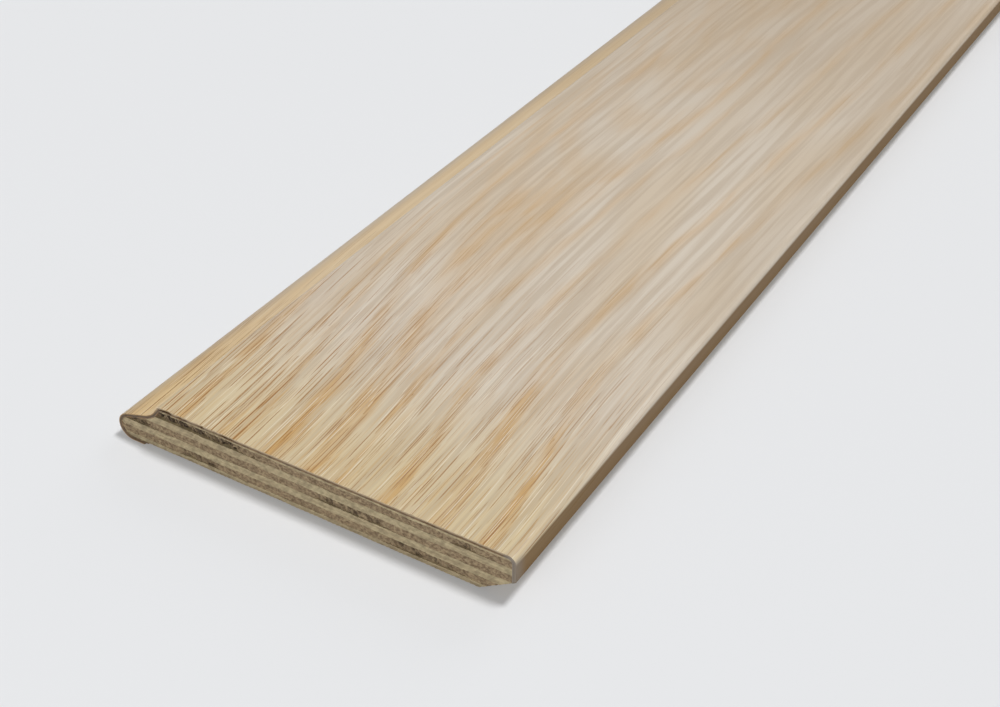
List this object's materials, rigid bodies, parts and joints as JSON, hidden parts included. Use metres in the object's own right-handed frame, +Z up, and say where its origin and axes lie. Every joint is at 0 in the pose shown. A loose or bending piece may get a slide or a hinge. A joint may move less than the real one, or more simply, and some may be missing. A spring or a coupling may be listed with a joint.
{
  "type": "threshold strip",
  "caption": "Flat wooden threshold strip: oak veneer wrapped round a plywood core, with a rounded nose and cove along the front edge and an under-bevelled square back edge.",
  "frame": {"origin": "centre of the bounding box's bottom face, level with the veneer lip under the nose", "axes": "+X along the strip, +Y across it from the rounded nose to the square side, +Z up out of the flat top"},
  "size_m": [0.9, 0.08, 0.01],
  "materials": {
    "oak_veneer": "satin clear lacquer on pale oak with golden bands and open brown pores",
    "glue_line": "dull dark amber glue soaked into the wood",
    "cross_grain_ply": "raw sawn, pale greenish beige, fibres across the strip",
    "long_grain_ply": "raw sawn, brown, fibres along the strip, dark end grain at the ends"
  },
  "bodies": {
    "root": {"oak_veneer_wrap": "oak_veneer", "wrap_glue_film": "glue_line", "ply_1_bottom_cross_grain": "cross_grain_ply", "ply_2_long_grain": "long_grain_ply", "ply_3_cross_grain": "cross_grain_ply", "ply_4_centre_long_grain": "long_grain_ply", "ply_5_cross_grain": "cross_grain_ply", "ply_6_long_grain": "long_grain_ply", "ply_7_top_cross_grain": "cross_grain_ply"}
  },
  "joints": []
}
